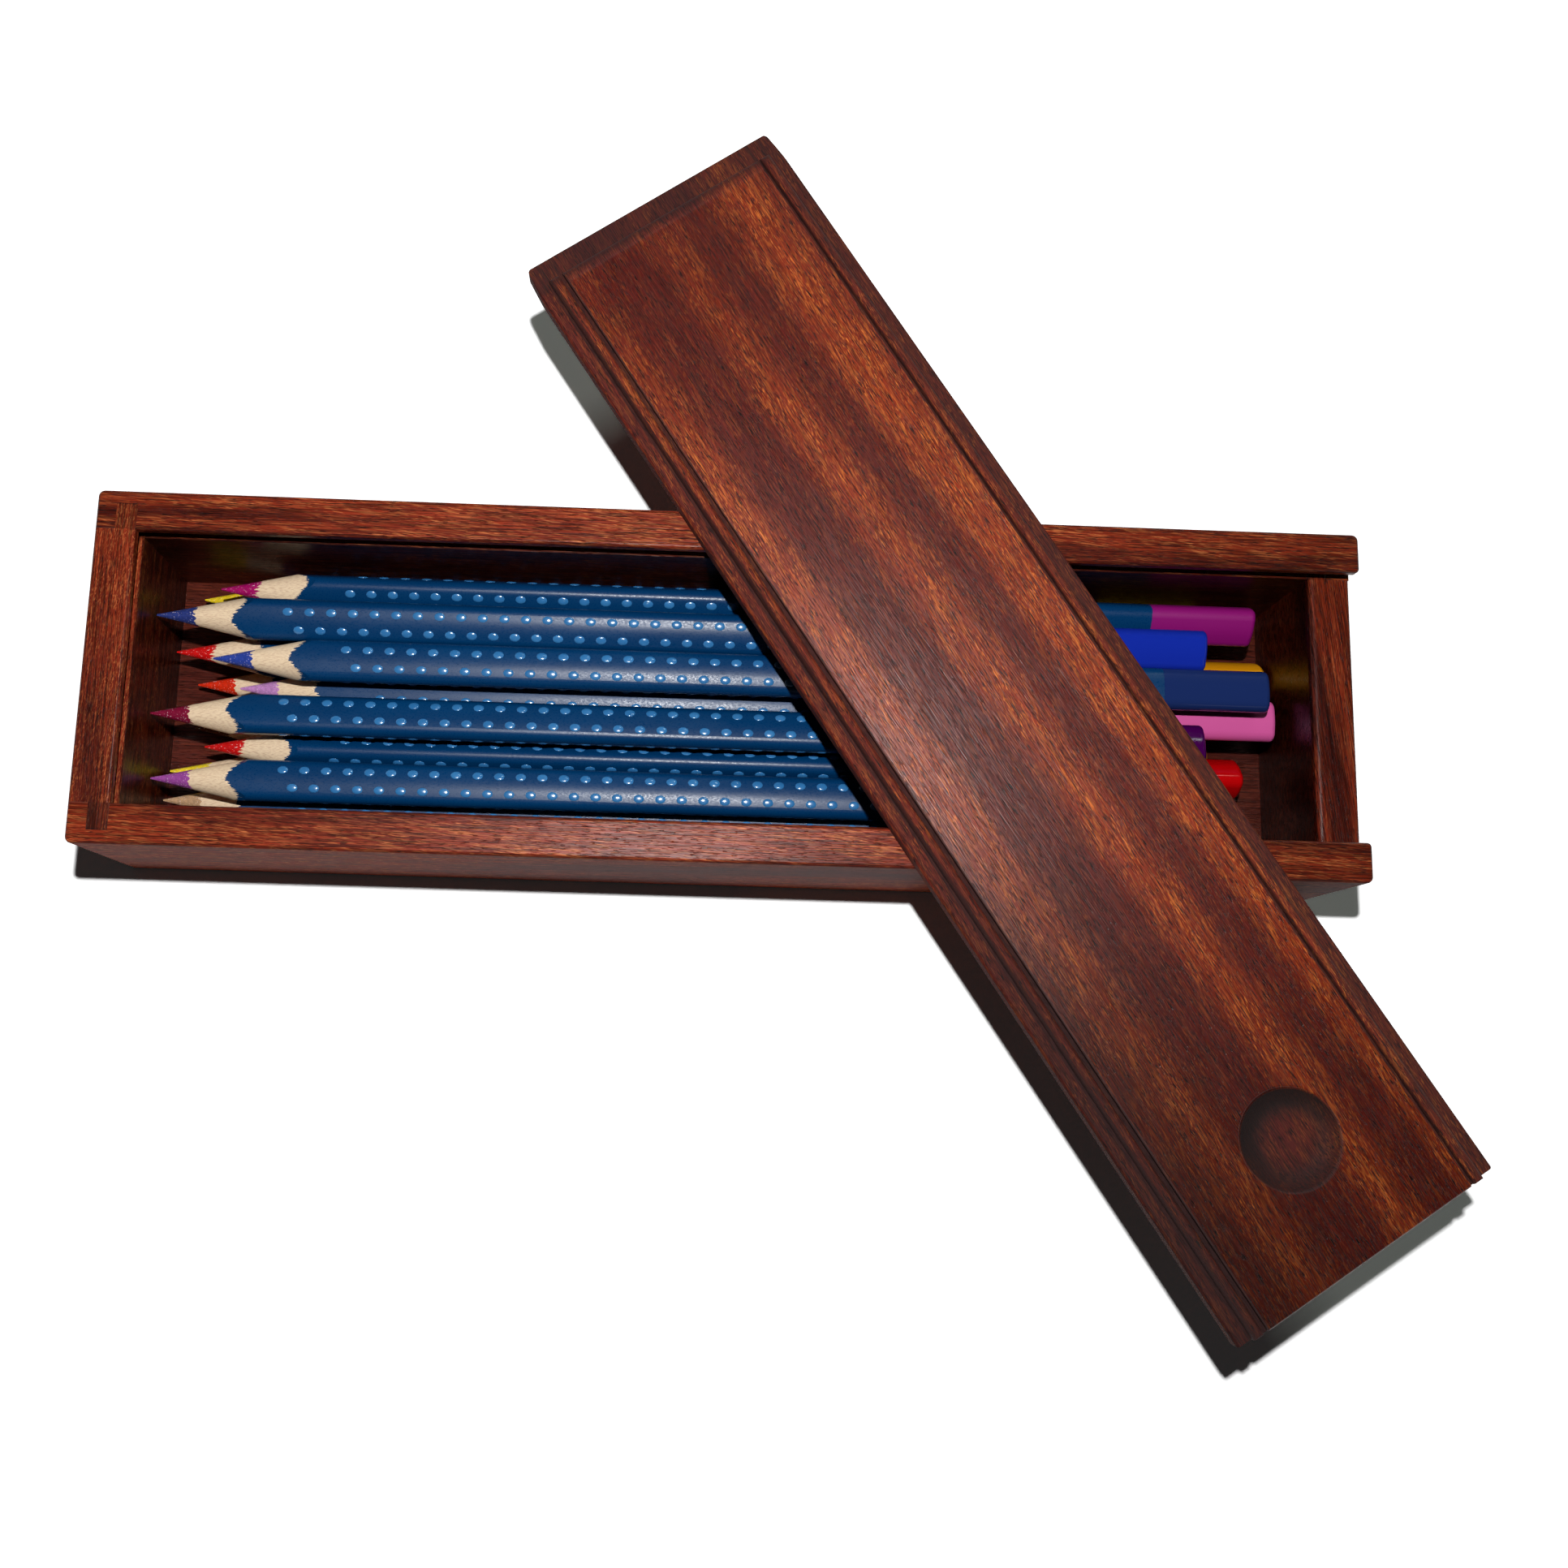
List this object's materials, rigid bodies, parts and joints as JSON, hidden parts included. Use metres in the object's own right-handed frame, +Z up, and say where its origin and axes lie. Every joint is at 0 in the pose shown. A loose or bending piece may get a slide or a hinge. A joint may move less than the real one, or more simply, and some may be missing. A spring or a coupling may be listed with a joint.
{
  "type": "pencil box",
  "caption": "Long low wooden pencil box with a sliding raised-panel lid, which lies slantwise on its rims, and triangular coloured pencils in it.",
  "frame": {"origin": "centre of the box's underside", "axes": "+X along the box from the closed back wall to the lower front wall, +Y across it to the far side, +Z up"},
  "size_m": [0.2185, 0.1915, 0.0388],
  "materials": {
    "box_wood": "dark red-brown mahogany, thin satin finish",
    "lid_wood": "ribbon-striped mahogany, satin finish",
    "pencil_casing": "gloss blue lacquer, bare wood at the sharpened end, end dipped in colour",
    "yellow_lead": "matt wax-bound colour",
    "orange_lead": "matt wax-bound colour",
    "brown_lead": "matt wax-bound colour",
    "lemon_lead": "matt wax-bound colour",
    "green_lead": "matt wax-bound colour",
    "vermilion_lead": "matt wax-bound colour",
    "ochre_lead": "matt wax-bound colour",
    "magenta_lead": "matt wax-bound colour",
    "scarlet_lead": "matt wax-bound colour",
    "pink_lead": "matt wax-bound colour",
    "red_lead": "matt wax-bound colour",
    "indigo_lead": "matt wax-bound colour",
    "blue_lead": "matt wax-bound colour",
    "purple_lead": "matt wax-bound colour",
    "orchid_lead": "matt wax-bound colour"
  },
  "bodies": {
    "box": {"far_side_wall": "box_wood", "near_side_wall": "box_wood", "back_wall": "box_wood", "front_wall": "box_wood", "floor": "box_wood"},
    "lid": {"lid": "lid_wood"},
    "yellow_pencil": {"yellow_pencil_casing": "pencil_casing", "yellow_pencil_lead": "yellow_lead"},
    "orange_pencil": {"orange_pencil_casing": "pencil_casing", "orange_pencil_lead": "orange_lead"},
    "brown_pencil": {"brown_pencil_casing": "pencil_casing", "brown_pencil_lead": "brown_lead"},
    "lemon_pencil": {"lemon_pencil_casing": "pencil_casing", "lemon_pencil_lead": "lemon_lead"},
    "green_pencil": {"green_pencil_casing": "pencil_casing", "green_pencil_lead": "green_lead"},
    "vermilion_pencil": {"vermilion_pencil_casing": "pencil_casing", "vermilion_pencil_lead": "vermilion_lead"},
    "ochre_pencil": {"ochre_pencil_casing": "pencil_casing", "ochre_pencil_lead": "ochre_lead"},
    "magenta_pencil": {"magenta_pencil_casing": "pencil_casing", "magenta_pencil_lead": "magenta_lead"},
    "scarlet_pencil": {"scarlet_pencil_casing": "pencil_casing", "scarlet_pencil_lead": "scarlet_lead"},
    "pink_pencil": {"pink_pencil_casing": "pencil_casing", "pink_pencil_lead": "pink_lead"},
    "red_pencil": {"red_pencil_casing": "pencil_casing", "red_pencil_lead": "red_lead"},
    "indigo_pencil": {"indigo_pencil_casing": "pencil_casing", "indigo_pencil_lead": "indigo_lead"},
    "blue_pencil": {"blue_pencil_casing": "pencil_casing", "blue_pencil_lead": "blue_lead"},
    "purple_pencil": {"purple_pencil_casing": "pencil_casing", "purple_pencil_lead": "purple_lead"},
    "orchid_pencil": {"orchid_pencil_casing": "pencil_casing", "orchid_pencil_lead": "orchid_lead"}
  },
  "joints": [
    {"name": "lid_turn", "type": "hinge", "parent": "box", "child": "lid", "pos_m": [0.01931, -0.03764, 0.0341], "axis": [0, 0, 1], "range_deg": [0, 55.71]},
    {"name": "yellow_pencil_slide", "type": "slide", "parent": "box", "child": "yellow_pencil", "axis": [1, 0, 0], "range_m": [-0.00405, 0.01095]},
    {"name": "orange_pencil_slide", "type": "slide", "parent": "box", "child": "orange_pencil", "axis": [1, 0, 0], "range_m": [-0.0147, 0.0003]},
    {"name": "brown_pencil_slide", "type": "slide", "parent": "box", "child": "brown_pencil", "axis": [1, 0, 0], "range_m": [-0.0042, 0.0108]},
    {"name": "lemon_pencil_slide", "type": "slide", "parent": "box", "child": "lemon_pencil", "axis": [1, 0, 0], "range_m": [-0.0006, 0.0144]},
    {"name": "green_pencil_slide", "type": "slide", "parent": "box", "child": "green_pencil", "axis": [1, 0, 0], "range_m": [-0.003, 0.012]},
    {"name": "vermilion_pencil_slide", "type": "slide", "parent": "box", "child": "vermilion_pencil", "axis": [1, 0, 0], "range_m": [-0.00435, 0.01065]},
    {"name": "ochre_pencil_slide", "type": "slide", "parent": "box", "child": "ochre_pencil", "axis": [1, 0, 0], "range_m": [-0.00075, 0.01425]},
    {"name": "magenta_pencil_slide", "type": "slide", "parent": "box", "child": "magenta_pencil", "axis": [1, 0, 0], "range_m": [-0.0096, 0.0054]},
    {"name": "scarlet_pencil_slide", "type": "slide", "parent": "box", "child": "scarlet_pencil", "axis": [1, 0, 0], "range_m": [-0.00195, 0.01305]},
    {"name": "pink_pencil_slide", "type": "slide", "parent": "box", "child": "pink_pencil", "axis": [1, 0, 0], "range_m": [-0.0135, 0.0015]},
    {"name": "red_pencil_slide", "type": "slide", "parent": "box", "child": "red_pencil", "axis": [1, 0, 0], "range_m": [-0.00795, 0.00705]},
    {"name": "indigo_pencil_slide", "type": "slide", "parent": "box", "child": "indigo_pencil", "axis": [1, 0, 0], "range_m": [-0.0003, 0.0147]},
    {"name": "blue_pencil_slide", "type": "slide", "parent": "box", "child": "blue_pencil", "axis": [1, 0, 0], "range_m": [-0.01035, 0.00465]},
    {"name": "purple_pencil_slide", "type": "slide", "parent": "box", "child": "purple_pencil", "axis": [1, 0, 0], "range_m": [-0.00015, 0.01485]},
    {"name": "orchid_pencil_slide", "type": "slide", "parent": "box", "child": "orchid_pencil", "axis": [1, 0, 0], "range_m": [-0.0003, 0.0147]}
  ]
}
